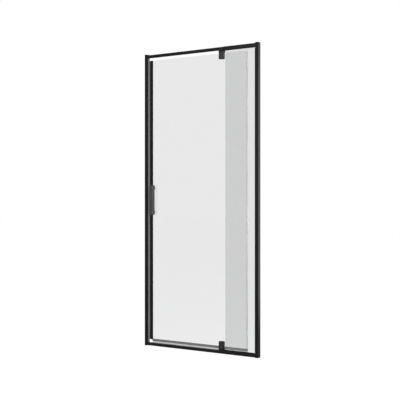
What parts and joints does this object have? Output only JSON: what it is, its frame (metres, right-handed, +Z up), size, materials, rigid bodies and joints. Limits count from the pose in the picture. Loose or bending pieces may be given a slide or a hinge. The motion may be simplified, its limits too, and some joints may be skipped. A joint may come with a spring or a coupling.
{
  "type": "pivot shower door",
  "caption": "Black framed pivot shower door: a clear glass leaf turning on inset clamps, beside a narrow fixed pane, with a bar handle and grey seals.",
  "frame": {"origin": "middle of the threshold's sole under the bottom rail, on the leaf's turning plane", "axes": "+X from the closing side to the fixed pane, +Y into the shower, +Z up"},
  "size_m": [0.9, 0.0505, 1.95],
  "materials": {
    "black_extrusion": "satin black powder coat on aluminium extrusion",
    "black_casting": "satin black powder coat on die casting",
    "black_plastic": "fine matt moulded black",
    "clear_glass": "clear toughened glass, polished edges",
    "grey_seal": "satin grey flexible PVC",
    "clear_seal": "translucent soft PVC",
    "black_rubber": "matt black EPDM",
    "magnet": "matt dark magnetic rubber",
    "steel": "plain stainless steel",
    "nylon": "natural nylon"
  },
  "bodies": {
    "frame": {"wall_channel_left": "black_extrusion", "wall_channel_right": "black_extrusion", "post_left": "black_extrusion", "post_right": "black_extrusion", "post_caps_top": "black_plastic", "post_caps_bottom": "black_plastic", "top_rail": "black_extrusion", "bottom_rail": "black_extrusion", "corner_blocks": "black_plastic", "corner_screws": "steel", "post_screws": "steel", "post_screw_covers": "black_plastic", "strike_holder": "grey_seal", "strike_magnet": "magnet", "fixed_glass": "clear_glass", "glazing_channel_top": "black_extrusion", "glazing_channel_bottom": "black_extrusion", "glazing_strips": "black_rubber", "setting_blocks": "black_rubber", "pivot_bracket_top": "black_casting", "pivot_bracket_bottom": "black_casting", "pivot_bush_top": "nylon", "pivot_bush_bottom": "nylon", "bracket_screws": "steel"},
    "door": {"door_glass": "clear_glass", "closing_stile": "black_extrusion", "stile_caps": "black_plastic", "stile_strips": "black_rubber", "closing_seal": "grey_seal", "door_magnet": "magnet", "handle": "black_extrusion", "handle_screws": "steel", "handle_sleeves": "nylon", "handle_covers": "black_plastic", "clamp_front_top": "black_casting", "clamp_back_top": "black_casting", "clamp_front_bottom": "black_casting", "clamp_back_bottom": "black_casting", "clamp_gaskets": "black_rubber", "clamp_screws": "steel", "pivot_pin_top": "steel", "pivot_pin_bottom": "steel", "drip_seal": "grey_seal", "drip_fins": "clear_seal", "tail_seal": "clear_seal"}
  },
  "joints": [
    {"name": "door_pivot", "type": "hinge", "parent": "frame", "child": "door", "pos_m": [0.171, 0, 0.975], "axis": [0, 0, 1], "range_deg": [0, 110]}
  ]
}
